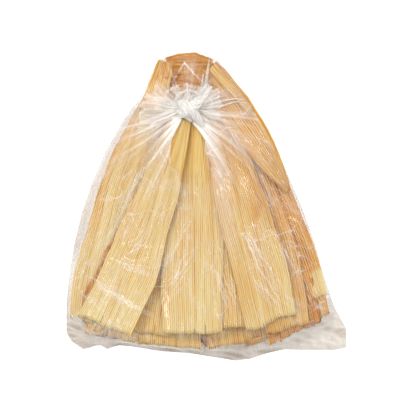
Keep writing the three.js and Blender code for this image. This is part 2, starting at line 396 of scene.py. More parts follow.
    def _tint(self, u: float, v: float, point: Vector) -> float:
        """How brown the leaf is at a place, with painted shade on its strips' drops and, on some leaves, in the slits
        beside them.

        Args:
            u: Across the leaf, from -0.5 to 0.5.
            v: Along it, from the cut end, 0, to the other end, 1.
            point: The same place in the bundle, in millimetres, where the stains and painted shade marks are.

        Returns:
            From 0, cream, to 1, dark brown.
        """
        base = mix(self.tint[0], self.tint[1], v)
        edge = 0.04 * max(0.0, abs(2 * u) - 0.75) / 0.25
        # Marks: stains and tone patches, and on husk_left_pale painted shade in the slits between husks.
        for start, end, radius, change in self.stains_and_shade_marks:
            span = Vector(end) - Vector(start)
            along = min(max((point.xy - Vector(start)).dot(span) / max(span.length_squared, 1e-6), 0), 1)
            away = (point.xy - Vector(start) - span * along).length + wander(point.x / 4, point.y / 4, self.seed)
            base += change * (1 - smooth_step(away, radius * 0.6, radius))
        strip = self._strip(u, v)
        # Painted shade: darker on the steep drop at the edge of each folded strip.
        fold_shade = 0.08 * smooth_step(strip, 0.8, 0.92) * (1 - smooth_step(strip, 0.94, 1.0))
        return base + edge + fold_shade - 0.08 - 0.05 * (1 - strip) + 0.045 * wander(u * 2, v * 3, self.seed + 8)


def front_husks(front: int) -> list[Husk]:
    """The husks that the front shows, from the deepest to the topmost.

    Args:
        front: The first layer above the inner husks.

    Returns:
        The husks.
    """
    return [
        Husk("husk_lower_centre", front, (-40, -116), (-26, 121), (67, 41, 11), tint=(0.4, 0.62)),
        Husk("husk_lower_right", front, (32, -114), (-8, 122), (64, 41, 12), tint=(0.5, 0.75)),
        Husk("husk_far_left", front + 1, (-99, -100), (-35, 117), (41, 40, 11), -8, tint=(0.33, 0.55)),
        Husk("husk_far_right", front + 1, (91, -97), (2, 119), (30, 31, 12), 8, tint=(0.52, 0.58), wrinkle=0.8),
        Husk("husk_torn_strip", front + 1, (58, -115), (39, -28), (11, 13, 8), tint=(0.62, 0.65), splits=1),
        # husk_left_pale's marks are painted shade: the dark slits and gap beside husk_front_left's left edge.
        Husk("husk_left_pale", front + 2, (-89, -99), (-31, 119), (40, 35, 12), -9, tint=(0.28, 0.45), wrinkle=0.4,
             stains_and_shade_marks=(((-88, -46), (-85, -37), 4.5, 0.4), ((-110, -84), (-89, -47), 2.6, 0.38),
                    ((-84, -34), (-57, 16), 2.6, 0.32))),
        Husk("husk_right_amber", front + 2, (80, -105), (-3, 119), (36, 38, 12), 9, tint=(0.68, 0.66), wrinkle=1.2,
             strips=0.3),
        Husk("husk_centre_left", front + 3, (-55, -106), (-22, 119), (44, 34, 12), tint=(0.42, 0.7)),
        Husk("husk_pale_stub", front + 3, (94, -77), (8, 112), (17, 22, 10), 7, tint=(0.58, 0.68), splits=1,
             wrinkle=0.8, strips=0.3, stains_and_shade_marks=(((101, -80), (95, -60), 10, -0.26),)),
        Husk("husk_right_gold", front + 4, (67, -103), (-6, 119), (38, 42, 12), 8, tint=(0.5, 0.66), wrinkle=0.7),
        Husk("husk_centre_right", front + 5, (15, -103), (-9, 117), (34, 34, 12), 1, tint=(0.4, 0.56)),
        Husk("husk_front_centre", front + 6, (-13, -106), (-14, 117), (50, 46, 12), tint=(0.32, 0.5)),
        Husk("husk_front_right", front + 7, (54, -97), (-4, 111), (44, 42, 12), 3, tint=(0.34, 0.6), wrinkle=0.4),
        Husk("husk_front_left", front + 8, (-87, -99), (-16, 102), (51, 38, 10), 5, tint=(0.31, 0.42),
             curl=(2.2, 2.4), dome=1.0),
        Husk("husk_right_flap", front + 8, (-3, 117.5), (69, 14), (24, 29, 5), -2, tint=(0.6, 0.5), curl=(0.0, 2.4),
             dome=1.5, wrinkle=0.6),
        Husk("husk_crosswise_low", front + 9, (-40, 103), (10, 96), (17, 20, 12), tint=(0.68, 0.68), splits=0,
             strips=0.3, wrinkle=1.1, grain=2.1, stains_and_shade_marks=(((-29, 105), (-27, 110), 3.6, 0.14),)),
        Husk("husk_crosswise_top", front + 10, (-36, 118.5), (4, 118.5), (17, 26, 16), tint=(0.68, 0.63), splits=0,
             strips=0.3, wrinkle=1.4, grain=2.1, stains_and_shade_marks=(((-29, 108), (-26, 112), 3.4, 0.14),)),
        Husk("husk_left_tip", front + 11, (-49, 84), (-36, 124.5), (18, 18, 12), 1, tint=(0.49, 0.46), splits=0,
             wrinkle=0.9, stains_and_shade_marks=(((-36, 113), (-35, 121), 5, 0.16),)),
        Husk("husk_right_strip", front + 11, (37, 81), (3, 120), (5, 6, 7), tint=(0.44, 0.46), splits=0, wrinkle=0.5),
    ]


@dataclass
class HuskBundle:
    """All the husks: the regular inner ones and those that the front shows."""

    fan: Fan = field(default_factory=Fan)
    finish: HuskFinish = field(default_factory=HuskFinish)

    def inner_husks(self) -> list[Husk]:
        """The husks of the inner layers, side by side, each over the joint of two below.

        Returns:
            The husks, from the lowest layer up.
        """
        husks = []
        for layer in range(self.fan.inner_layers):
            in_layer = 2 if layer % 2 == 0 else 3
            for place in range(in_layer):
                husks.append(self._inner(len(husks) + 1, layer, place, in_layer))
        return husks

    def _inner(self, number: int, layer: int, place: int, in_layer: int) -> Husk:
        """One husk of an inner layer, with its wander taken from the golden ratio as in the CAD model.

        Args:
            number: Its number among the inner husks, from 1.
            layer: Its layer, from 0 at the table.
            place: Its place in the layer, from the left.
            in_layer: How many husks lie side by side there.

        Returns:
            The husk.
        """
        fan = self.fan
        drift = (layer * 0.618) % 1
        angle = fan.middle + fan.husk_step * (place - (in_layer - 1) / 2) + math.radians(1.8) * (drift - 0.5)
        reach = fan.cut_reach / math.cos(angle) ** 0.8 - 8 * ((layer * 0.382 + place * 0.271) % 1)
        width = 58 + 7 * ((layer * 0.271 + place * 0.459) % 1)
        tip_reach = fan.tip_reach + 3 * drift
        towards = Vector((math.sin(angle), -math.cos(angle)))
        apex = Vector(fan.apex)
        tone = 0.35 + 0.35 * ((number * 0.618) % 1)
        return Husk(f"husk_inner_{number:02d}", layer, tuple(apex + towards * reach), tuple(apex + towards * tip_reach),
                    (width, 0.61 * width, 11.5), 3 * drift - 1.5, tint=(tone, tone + 0.15), columns=30, rows=32,
                    seed=number + 40)

    def build(self) -> list[bpy.types.Object]:
        """Makes every husk.

        Returns:
            The pieces.
        """
        material = self.finish.material()
        husks = self.inner_husks() + front_husks(self.fan.inner_layers)
        pieces = []
        for number, husk in enumerate(husks):
            husk.seed = husk.seed or number + 1
            pieces.append(husk.build(self.fan, material))
        LOG.info("%d husks", len(pieces))
        return pieces


# ---- the film bag ----


@dataclass(frozen=True)
class FilmFinish:
    """Clear polyethylene film, blown thin and soft.

    One layer hardly veils what lies under it, but its creases catch the light and are painted whiter as their
    highlights.
    Where the film is gathered its many layers turn white, at the knot most of all, in streaks that run out from it,
    with painted highlights along them. Over nothing it is painted a darker beige, the shade under and round the bundle.
    """

    gathered: str = "fffbf5"
    # over_nothing_shade: a darker beige that paints the shade over the bare table round the bundle.
    over_nothing_shade: str = "aa9884"
    roughness: float = 0.17
    least_mirror: float = 0.05  # the share that film's two faces mirror straight back, the same from either side
    knot: tuple[float, float] = (-17.0, 84.0)  # mm, where the streaks meet
    streak_reach: float = 88.0  # mm
    crease_spacing: float = 17.0  # mm
    crinkle: float = 3.2  # mm
    relief: float = 0.3  # mm
    streak_white_and_highlight: float = 0.27  # how much whiter the film is along a line of each kind: painted highlights, and along the streaks gathered layers too
    crease_highlight: float = 0.24
    crinkle_highlight: float = 0.15
    through: float = 0.22  # the share of the white film's light that comes from behind it

    def material(self) -> bpy.types.Material:
        """Makes the material, which reads how milky the film is and how much shade is painted on it from two
        attributes.

        Returns:
            The new material.
        """
        made = bpy.data.materials.new("clear_polyethylene_film_blown")
        made.use_nodes = True
        tree = made.node_tree
        tree.nodes.clear()
        milk = add_node(tree, "ShaderNodeAttribute", {"attribute_name": "milk"}).outputs["Fac"]
        painted_shade = add_node(tree, "ShaderNodeAttribute", {"attribute_name": "painted_shade"}).outputs["Fac"]
        place = add_node(tree, "ShaderNodeTexCoord").outputs["Object"]
        streaks, creases, crinkles = self._streaks(tree, place), self._creases(tree, place), self._crinkles(tree, place)

        # Whiteness: the attribute's, and more along every streak, crease and crinkle, painted as their highlights.
        streaked = add_node(tree, "ShaderNodeMath", {"operation": "MULTIPLY_ADD"}, i0=streaks,
                            i1=self.streak_white_and_highlight, i2=milk)
        creased = add_node(tree, "ShaderNodeMath", {"operation": "MULTIPLY_ADD"}, i0=creases,
                           i1=self.crease_highlight, i2=streaked)
        cover = add_node(tree, "ShaderNodeMath", {"operation": "MULTIPLY_ADD", "use_clamp": True}, i0=crinkles,
                         i1=self.crinkle_highlight, i2=creased)

        # Relief: the same lines stand up and catch the light.
        low = add_node(tree, "ShaderNodeMath", {"operation": "MULTIPLY_ADD"}, i0=streaks, i1=0.8, i2=creases)
        high = add_node(tree, "ShaderNodeMath", {"operation": "MULTIPLY_ADD"}, i0=crinkles, i1=0.4, i2=low)
        relief = add_node(tree, "ShaderNodeBump", Height=high, Strength=1.0, Distance=self.relief * MM)

        # Painted shade: the film turns to the darker beige where the painted shade attribute is high.
        tone = add_node(tree, "ShaderNodeMix", {"data_type": "RGBA", 6: linear(self.gathered),
                                                7: linear(self.over_nothing_shade)}, i0=painted_shade)
        lit = add_node(tree, "ShaderNodeBsdfDiffuse", Color=tone.outputs[2])
        through = add_node(tree, "ShaderNodeBsdfTranslucent", Color=tone.outputs[2])
        white = add_node(tree, "ShaderNodeMixShader", {0: self.through}, i1=lit, i2=through)
        sheer = add_node(tree, "ShaderNodeBsdfTransparent")
        film = add_node(tree, "ShaderNodeMixShader", i0=cover, i1=sheer, i2=white)
        gloss = add_node(tree, "ShaderNodeBsdfAnisotropic", {"Roughness": self.roughness}, Normal=relief)
        facing = add_node(tree, "ShaderNodeLayerWeight", {"Blend": 0.5}, Normal=relief).outputs["Facing"]
        grazing = add_node(tree, "ShaderNodeMath", {"operation": "POWER"}, i0=facing, i1=5.0)
        mirror = add_node(tree, "ShaderNodeMath", {"operation": "MULTIPLY_ADD"}, i0=grazing,
                          i1=1 - self.least_mirror, i2=self.least_mirror)
        whole = add_node(tree, "ShaderNodeMixShader", i0=mirror, i1=film, i2=gloss)
        add_node(tree, "ShaderNodeOutputMaterial", Surface=whole)
        return made

    def _lines(self, tree: bpy.types.NodeTree, value: bpy.types.NodeSocket, low: float, high: float,
               mask: bpy.types.NodeSocket) -> bpy.types.NodeSocket:
        """Lines where a value is high, kept only where a mask is.

        Args:
            tree: The material's node tree.
            value: The value, such as ridged noise.
            low: Where a line begins.
            high: Where it is whole.
            mask: From 0, no line, to 1.

        Returns:
            The lines, from 0 to 1.
        """
        line = add_node(tree, "ShaderNodeMapRange", {"interpolation_type": "SMOOTHSTEP"}, Value=value, From_Min=low,
                        From_Max=high)
        return add_node(tree, "ShaderNodeMath", {"operation": "MULTIPLY"}, i0=line, i1=mask).outputs[0]

    def _patches(self, tree: bpy.types.NodeTree, place: bpy.types.NodeSocket, size: float, low: float,
                 high: float) -> bpy.types.NodeSocket:
        """Soft patches.

        Args:
            tree: The material's node tree.
            place: The place, in metres.
            size: Their size, in millimetres.
            low: The noise at which a patch begins.
            high: The noise at which it is whole.

        Returns:
            The patches, from 0 to 1.
        """
        cloud = add_node(tree, "ShaderNodeTexNoise", Vector=place, Scale=1 / (size * MM), Detail=1.0)
        return add_node(tree, "ShaderNodeMapRange", {"interpolation_type": "SMOOTHSTEP"}, Value=cloud.outputs["Fac"],
                        From_Min=low, From_Max=high).outputs[0]

    def _streaks(self, tree: bpy.types.NodeTree, place: bpy.types.NodeSocket) -> bpy.types.NodeSocket:
        """Straight streaks that run out from the knot: dense ones that fade, and finer ones in patches far from it.

        Args:
            tree: The material's node tree.
            place: The place, in metres.

        Returns:
            The streaks, from 0 to about 1.
        """
        near, reach = self._fibres(tree, place, 13.0, 14.0)
        fade = add_node(tree, "ShaderNodeMapRange", {"interpolation_type": "SMOOTHSTEP"}, Value=reach,
                        From_Min=0.006, From_Max=self.streak_reach * MM, To_Min=1.0, To_Max=0.0)
        far, reach = self._fibres(tree, place, 52.0, 42.0)
        near_lines = self._lines(tree, near, 1.1, 1.9, fade.outputs[0])
        far_lines = self._lines(tree, far, 1.1, 1.6, self._patches(tree, place, 24, 0.4, 0.58))
        return add_node(tree, "ShaderNodeMath", {"operation": "MULTIPLY_ADD"}, i0=far_lines, i1=0.7,
                        i2=near_lines).outputs[0]

    def _fibres(self, tree: bpy.types.NodeTree, place: bpy.types.NodeSocket, spin: float,
                slide: float) -> tuple[bpy.types.NodeSocket, bpy.types.NodeSocket]:
        """Ridged noise drawn out along the lines that meet at the knot.

        Args:
            tree: The material's node tree.
            place: The place, in metres.
            spin: How fast the noise changes round the knot, per radian.
            slide: How fast it changes outwards, per metre.

        Returns:
            The noise, and the distance from the knot in metres.
        """
        centre = (self.knot[0] * MM, self.knot[1] * MM, 0)
        away = add_node(tree, "ShaderNodeVectorMath", {"operation": "SUBTRACT", 1: centre}, i0=place)
        flat = add_node(tree, "ShaderNodeVectorMath", {"operation": "MULTIPLY", 1: (1, 1, 0)}, i0=away)
        heading = add_node(tree, "ShaderNodeVectorMath", {"operation": "NORMALIZE"}, i0=flat)
        reach = add_node(tree, "ShaderNodeVectorMath", {"operation": "LENGTH"}, i0=flat).outputs["Value"]
        slow = add_node(tree, "ShaderNodeMath", {"operation": "MULTIPLY"}, i0=reach, i1=slide)
        along = add_node(tree, "ShaderNodeCombineXYZ", Z=slow)
        spun = add_node(tree, "ShaderNodeVectorMath", {"operation": "SCALE"}, i0=heading, Scale=spin)
        where = add_node(tree, "ShaderNodeVectorMath", {"operation": "ADD"}, i0=spun, i1=along)
        fibres = add_node(tree, "ShaderNodeTexNoise", {"noise_type": "RIDGED_MULTIFRACTAL"}, Vector=where,
                          Scale=1.0, Detail=2.0, Roughness=0.55, Offset=1.0, Gain=2.0)
        return fibres.outputs["Fac"], reach

    def _creases(self, tree: bpy.types.NodeTree, place: bpy.types.NodeSocket) -> bpy.types.NodeSocket:
        """Long sharp creases, each in its own patch of the film."""
        folds = add_node(tree, "ShaderNodeTexNoise", {"noise_type": "RIDGED_MULTIFRACTAL"}, Vector=place,
                         Scale=1 / (self.crease_spacing * MM), Detail=0.0, Distortion=0.3, Offset=1.0)
        return self._lines(tree, folds.outputs["Fac"], 0.93, 0.995, self._patches(tree, place, 30, 0.42, 0.56))

    def _crinkles(self, tree: bpy.types.NodeTree, place: bpy.types.NodeSocket) -> bpy.types.NodeSocket:
        """Patches of fine squiggles."""
        fine = add_node(tree, "ShaderNodeTexNoise", {"noise_type": "RIDGED_MULTIFRACTAL"}, Vector=place,
                        Scale=1 / (self.crinkle * MM), Detail=1.0, Roughness=0.4, Distortion=0.6, Offset=1.0,
                        Gain=2.0)
        return self._lines(tree, fine.outputs["Fac"], 1.05, 1.4, self._patches(tree, place, 14, 0.42, 0.58))


def film_layers(shape: bmesh.types.BMesh) -> list[bmesh.types.BMLayerItem]:
    """The film's two layers of a bmesh, milk and painted shade, made if it has none yet."""
    layers = shape.verts.layers.float
    return [layers.get(name) or layers.new(name) for name in ("milk", "painted_shade")]


@dataclass
class HeightMap:
    """Heights above the table on a square grid, in millimetres."""

    low: tuple[float, float]
    step: float
    heights: np.ndarray

    def at(self, x: float, y: float) -> float:
        """The height between grid points.

        Args:
            x: Across, in millimetres.
            y: Up.

        Returns:
            The height, in millimetres.
        """
        column = min(max((x - self.low[0]) / self.step, 0), self.heights.shape[0] - 1.001)
        row = min(max((y - self.low[1]) / self.step, 0), self.heights.shape[1] - 1.001)
        i, j = int(column), int(row)
        a, b = column - i, row - j
        near = self.heights[i, j] * (1 - a) + self.heights[i + 1, j] * a
        far = self.heights[i, j + 1] * (1 - a) + self.heights[i + 1, j + 1] * a
        return float(near * (1 - b) + far * b)


def softened(heights: np.ndarray) -> np.ndarray:
    """Each height averaged with its eight neighbours."""
    padded = np.pad(heights, 1, mode="edge")
    size_x, size_y = heights.shape
    return sum(padded[i : i + size_x, j : j + size_y] for i in range(3) for j in range(3)) / 9


def ridged(value: float) -> float:
    """Turns smooth noise from -1 to 1 into sharp crests from 0 to 1."""
    return max(0.0, 1 - 2.2 * abs(value))


def spline(points: list[tuple[float, ...]], share: float) -> Vector:
    """A smooth line through points, at a share of the way along.

    Args:
        points: The points that it goes through.
        share: From 0 at the first point to 1 at the last.

    Returns:
        The point there.
    """
    span = min(max(share, 0.0), 0.9999) * (len(points) - 1)
    first = int(span)
    t = span - first
    before, start, end, after = (Vector(points[min(max(first + k, 0), len(points) - 1)]) for k in (-1, 0, 1, 2))
    return 0.5 * (2 * start + (end - before) * t + (2 * before - 5 * start + 4 * end - after) * t * t
                  + (3 * start - before - 3 * end + after) * t ** 3)


@dataclass(frozen=True)
class Strand:
    """A rope of gathered film with pleats along it. Its points are x, y and how far it stands over the husks, in mm."""

    points: tuple[tuple[float, float, float], ...]
    widths: tuple[float, ...]  # half of its width at even steps along it
    flatness: float = 0.5  # its height as a share of its width
    pleats: int = 9
    milk: float = 0.75
    turns: float = 0.3
    seed: int = 0

    def sweep(self, shape: bmesh.types.BMesh, rest: HeightMap) -> None:
        """Adds the strand to a bmesh: a grid rolled into a pleated tube along its line.

        Args:
            shape: The bmesh, in metres.
            rest: The film's heights over the husks.
        """
        before = set(shape.verts)
        around, along = self.pleats * 8, max(30, 12 * len(self.points))
        bmesh.ops.create_grid(shape, x_segments=around, y_segments=along, size=0.5)
        milk = film_layers(shape)[0]
        line = [(x, y, rest.at(x, y) + lift) for x, y, lift in self.points]
        sizes = [(width, 0) for width in self.widths]
        for vertex in [vertex for vertex in shape.verts if vertex not in before]:
            turn, t = 2 * math.pi * (vertex.co.x + 0.5), vertex.co.y + 0.5
            here = spline(line, t)
            ahead = (spline(line, min(t + 0.02, 1)) - spline(line, max(t - 0.02, 0))).normalized()
            side = ahead.cross(Vector((0, 0, 1))).normalized()
            up = side.cross(ahead)
            twist = turn + self.turns * 2 * math.pi * t
            ring = Vector((math.cos(twist), math.sin(twist), 0)) * (self.pleats / 4)
            crest = ridged(noise.noise(ring + Vector((0, 0, t * 1.7 + self.seed * 7.7))) * 1.3)
            crest = 0.65 * crest + 0.35 * ridged(noise.noise(2.3 * ring + Vector((0, 0, t * 3 + self.seed * 3.1))))
            size = spline(sizes, t).x * (0.72 + 0.42 * crest + 0.12 * wander(t * 4, turn / 2, self.seed + 50))
            place = here + side * (math.cos(turn) * size) + up * (math.sin(turn) * size * self.flatness)
            vertex.co = place * MM
            vertex[milk] = self.milk * (0.72 + 0.5 * crest)


@dataclass(frozen=True)
class Ear:
    """A fan of gathered film that opens out of the knot, with pleats that radiate."""

    centre: tuple[float, float]
    sweep: tuple[float, float]  # degrees, from its first edge to its last
    reach: tuple[float, float]  # mm from its root to its ragged end
    lift: tuple[float, float]  # mm over the husks at its root and at its end
    pleats: int = 13
    milk: float = 0.45
    seed: int = 0

    def spread(self, shape: bmesh.types.BMesh, rest: HeightMap) -> None:
        """Adds the fan to a bmesh: a grid bent round the knot.

        Args:
            shape: The bmesh, in metres.
            rest: The film's heights over the husks.
        """
        before = set(shape.verts)
        bmesh.ops.create_grid(shape, x_segments=self.pleats * 8, y_segments=34, size=0.5)
        milk = film_layers(shape)[0]
        for vertex in [vertex for vertex in shape.verts if vertex not in before]:
            u, v = vertex.co.x + 0.5, vertex.co.y + 0.5
            bent = u + 0.05 * wander(u * 5, v * 2, self.seed + 60)
            turn = math.radians(mix(*self.sweep, bent))
            ragged = 1 + 0.3 * wander(u * 5, 2, self.seed + 61) + 0.16 * wander(u * 19, 4, self.seed + 62)
            reach = mix(self.reach[0], self.reach[1] * ragged, v)
            spoke = Vector((u * self.pleats * 0.8, v * 0.7, self.seed * 5.3))
            crest = 0.7 * ridged(noise.noise(spoke)) + 0.5 * ridged(noise.noise(2.7 * spoke)) * (1 - 0.5 * v)
            x, y = self.centre[0] + reach * math.cos(turn), self.centre[1] + reach * math.sin(turn)
            flutter = 0.8 * v * wander(u * 7, v * 2, self.seed + 65)
            lift = mix(*self.lift, v) + 1.2 * math.sin(math.pi * u) + crest * mix(0.6, 1.5, v) + flutter
            vertex.co = Vector((x, y, rest.at(x, y) + lift)) * MM
            fade = mix(1.2, 0.4, v) * (0.32 + 0.9 * crest)
            sides = smooth_step(min(u, 1 - u), 0, 0.12)
            vertex[milk] = self.milk * fade * mix(0.4, 1, sides) + 0.12 * smooth_step(v, 0.95, 1)


KNOT_STRANDS = (
    # The rim of the shell: the film's doubled end, turned over the knot.
    Strand(((-25, 79, 2.5), (-28, 87, 4), (-25, 95, 5), (-17, 99, 5.5), (-8, 96, 5.5), (-4, 88, 5), (-8, 80, 4)),
           (1.0, 1.4, 1.6, 1.5, 1.6, 1.5, 1.2), 0.5, pleats=8, milk=0.3, turns=0.4, seed=1),
    # The core, and the wrap that crosses it.
    Strand(((-25, 78, 1.5), (-20, 81, 6), (-15, 84, 9), (-9, 89, 7), (-3, 95, 3), (1, 101, 2)),
           (2.2, 4.6, 5.6, 4.2, 2.4, 1.4), 0.75, pleats=12, milk=0.85, turns=0.8, seed=2),
    Strand(((-27, 89, 3), (-22, 88, 7.5), (-16, 83, 10.5), (-10, 77, 7.5), (-5, 70, 2)),
           (1.8, 3.6, 5.0, 3.8, 2.4), 0.7, pleats=10, milk=0.85, turns=0.7, seed=3),
    Strand(((-33, 85, 2), (-27, 84, 4.5), (-21, 82, 7), (-17, 78, 6), (-14, 74, 3)),
           (1.4, 3.0, 4.2, 3.6, 2.0), 0.6, pleats=9, milk=0.7, turns=0.5, seed=9),
    # Thin strands that stand out to the right and to the open end.
    Strand(((-3, 94, 2), (-2, 106, 1.6), (0, 118, 1.2), (1, 126, 0.5)), (1.7, 1.3, 1.0, 0.5), 0.4, pleats=6, seed=5,
           milk=0.26),
    Strand(((-6, 94, 2), (-5, 104, 1.6), (-4, 114, 1.0)), (1.2, 0.9, 0.4), 0.4, pleats=5, seed=6, milk=0.24),
    Strand(((2, 88, 2), (12, 91, 1.5), (22, 92.5, 1.2), (31, 92, 0.6)), (1.3, 0.8, 0.6, 0.4), 0.5, pleats=5, seed=7,
           milk=0.4),
    Strand(((2, 85, 2), (13, 87, 1.5), (23, 90, 1.2), (33, 89, 0.6)), (1.1, 0.6, 0.5, 0.4), 0.5, pleats=5, seed=8,
           milk=0.35),
)
KNOT_EARS = (
    Ear((-16, 81), (20, 165), (3, 14.5), (7.5, 5.5), 13, 0.6, 6),
    Ear((-21, 83), (128, 216), (4, 34), (4.5, 4.5), 17, 0.62, 1),
    Ear((-12, 84), (-30, 80), (4, 22), (4.5, 4.5), 14, 0.6, 2),
    Ear((-18, 84), (50, 145), (4, 20), (3.5, 4.2), 12, 0.42, 3),
    Ear((-21, 84), (150, 200), (3, 25), (6.0, 6.5), 13, 0.42, 4),
)


@dataclass
class FilmBag:
    """The clear bag: its body, and the knot in its two sides with the gathered ends that stand out of it."""

    fan: Fan
    finish: FilmFinish = field(default_factory=FilmFinish)
    knot: tuple[float, float] = (-17.0, 82.0)
    window: tuple[tuple[float, float], ...] = (
        (-21, 77.5), (-26, 67), (-30.5, 58), (-32, 50), (-31, 42), (-32, 36), (-27, 31.5), (-24, 33), (-21, 28.5),
        (-16, 31), (-12, 28), (-8, 32), (-4, 30), (-2, 38), (-3, 47), (-2.5, 57), (-6, 63), (-10, 68), (-16, 74),
    )
    bands: tuple = (  # places, half width in mm and whiteness where the film is doubled
        (((-24, 78), (-33, 62), (-37, 45), (-39, 20)), 4.4, 0.34),
        (((-34, 44), (-28, 30), (-22, 12)), 2.2, 0.3),
        (((-8, 75), (2, 60), (8, 35), (14, 0), (19, -34)), 7.5, 0.4),
        (((-30, 84), (-52, 70), (-70, 52)), 3.0, 0.22),
        (((2, 84), (22, 66), (48, 38)), 3.0, 0.2),
        (((-20, 123), (-12, 114), (-4, 106)), 0.9, 0.6),
        (((-20, 123), (-25, 115), (-30, 107)), 0.8, 0.42),
        (((-36, 98), (-22, 105), (-6, 101)), 1.0, 0.55),
    )
    creases: tuple = (  # the same, for single sharp creases, whose whiteness paints the highlight along each
        (((-92, -66), (-66, -81), (-41, -95)), 0.9, 0.5),
        (((-102, -75), (-89, -88.5)), 0.9, 0.5),
        (((-72, -47), (-46, -58)), 0.8, 0.45),
        (((-19.5, -17), (-30, -38), (-41, -61)), 0.8, 0.3),
        (((-98, -60), (-75, -70), (-58, -72)), 0.7, 0.3),
        (((30, -20), (44, -52), (60, -78), (76, -88)), 0.9, 0.45),
        (((62, -30), (78, -60), (86, -84)), 0.8, 0.35),
        (((20, 62), (44, 30), (60, -6)), 0.9, 0.35),
        (((-60, 30), (-78, -12), (-90, -40)), 0.8, 0.3),
        (((-66, -38), (-52, -30), (-47, -12)), 0.7, 0.45),
        (((-30, -66), (-22, -42), (-4, -30)), 0.7, 0.4),
        (((6, -52), (12, -74), (26, -98)), 0.8, 0.4),
        (((40, -62), (58, -80), (66, -96)), 0.8, 0.45),
        (((84, 8), (92, -30), (102, -62)), 0.7, 0.3),
        (((120, -118), (100, -104), (84, -100)), 1.3, 0.5),
        (((119, -106), (104, -112), (70, -117)), 1.1, 0.45),
        (((106, -86), (112, -104), (121, -116)), 1.0, 0.4),
        (((-116, -92), (-104, -104), (-96, -117)), 1.2, 0.5),
        (((-113, -112), (-98, -106), (-80, -112)), 1.0, 0.45),
        (((8, -123), (2, -112), (-8, -108)), 0.9, 0.35),
    )
    slack: float = 0.5  # mm of air between the husks' tops and the film
    edge_height: float = 3.0  # mm above the table where front and back meet
    hem_start: float = -60.0  # from here down the rows bend towards the hem
    hem_end: float = -126.0
    lowest_side: float = -108.0  # the sides run straight down from here
    hem_line: tuple[tuple[float, float], ...] = (
        (-122.4, -105.4), (-117.3, -114.8), (-112.2, -118.2), (-107.1, -121.6), (-102, -120.7), (-96.9, -118.6),
        (-91.8, -118.2), (-86.7, -121.6), (-81.6, -119.8), (-76.5, -118.2), (-66.3, -119), (-56.1, -120.7),
        (-40.8, -123.2), (-15.3, -125), (0, -127.5), (15.3, -130), (23, -131.4), (35.7, -130), (51, -125),
        (66.3, -121.6), (81.6, -122.4), (107.1, -122.4), (117.3, -120.7), (122, -118),
    )
    tip_end: float = 134.0
    over_tips: float = 2.8  # how far the film's mouth stands past the CAD bag's, so that it covers the tips
    columns: int = 290
    rows: int = 320
    skin_step: float = 1.5  # mm between the places where the film's rest height is worked out
    skin_low: tuple[float, float] = (-130.0, -135.0)
    skin_counts: tuple[int, int] = (175, 182)
    skin_passes: int = 26  # how often the skin is softened, which sets how far it spans from crest to crest
    pleat_sizes: tuple[tuple[int, float, float, int], ...] = (  # how many turn round the knot, mm high, mm long, seed
        (5, 1.5, 85, 1), (11, 1.1, 60, 2), (23, 0.7, 38, 3), (45, 0.4, 22, 4),
    )

    def build(self, husks: list[bpy.types.Object]) -> list[bpy.types.Object]:
        """Makes the whole bag round the husks.

        Args:
            husks: The finished husks that it lies on.

        Returns:
            The bag's pieces.
        """
        material = self.finish.material()
        self.cad = BVHTree.FromObject(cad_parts["bag"], bpy.context.evaluated_depsgraph_get())
        self.rest, self.bare = self._rest_heights(husks)
        body = self._body(material)
        pieces = [body, self._back(material), self._knot(material), self._gathers(material)]
        for piece in pieces:
            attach(piece, ROOT)
            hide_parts("bag")
        return pieces

    # The bag's outline, read from its CAD solid.

    def side(self, y: float, direction: int) -> float:
        """Where the bag's edge is.

        Args:
            y: How far up the bundle, in millimetres.
            direction: 1 for the left edge, -1 for the right edge.

        Returns:
            The edge's place across the bundle.
        """
        level = 0.8 if y < -119 else 5.0  # mm above the table: the hem is lower than the sides
        y -= self.over_tips * smooth_step(y, 108, 128)
        hit = self.cad.ray_cast(Vector((-0.3 * direction, y * MM, level * MM)), Vector((direction, 0, 0)))[0]
        return hit.x / MM if hit else 0.0

    def hem(self, x: float) -> float:
        """Where the bag's hem is at a place across it."""
        return float(np.interp(x, *zip(*self.hem_line)))

    def _rest_heights(self, husks: list[bpy.types.Object]) -> tuple[HeightMap, HeightMap]:
        """The height that taut film takes over the husks, by letting a skin sag onto them.

        Args:
            husks: What it lies on.

        Returns:
            The film's heights, and how bare of husks the table is under it, from 0 to 1.
        """
        shape = bmesh.new()
        for husk in husks:
            shape.from_mesh(husk.data)
        tree = BVHTree.FromBMesh(shape)
        shape.free()
        step, low, counts = self.skin_step, self.skin_low, self.skin_counts
        under = np.full(counts, -50.0)  # far below the table where no husk is
        inside = np.zeros(counts, dtype=bool)
        sides = [(self.side(low[1] + j * step, 1), self.side(low[1] + j * step, -1)) for j in range(counts[1])]
        hems = [self.hem(low[0] + i * step) for i in range(counts[0])]
        for i in range(counts[0]):
            for j in range(counts[1]):
                x, y = low[0] + i * step, low[1] + j * step
                inside[i, j] = sides[j][0] < x < sides[j][1] and y > hems[i]
                hit = tree.ray_cast(Vector((x, y, 100)) * MM, Vector((0, 0, -1)))[0]
                if hit:
                    under[i, j] = hit.z / MM + self.slack
        skin = np.where(inside, np.maximum(under, self.edge_height), self.edge_height)
        for _ in range(self.skin_passes):
            skin = np.where(inside, np.maximum(softened(skin), under), self.edge_height)
        bare = softened(np.where(under < 0, 1.0, 0.0))
        return HeightMap(low, step, softened(skin)), HeightMap(low, step, bare)

    # The body.

    def _station(self, a: float, s: float) -> tuple[float, float]:
        """The bag's place at a share of the way across and up.

        Args:
            a: From the left edge, 0, to the right edge, 1.
            s: From the hem, 0, to the mouth, 1.

        Returns:
            The place, in millimetres.
        """
        station = mix(self.hem_end, self.tip_end, s)
        left, right = self.edges[round(s * self.grid[1])]
        x = mix(left, right, a)
        if station > self.hem_start:
            return x, station
        share = (station - self.hem_end) / (self.hem_start - self.hem_end)
        return x, mix(self.hems[round(a * self.grid[0])], self.hem_start, share)

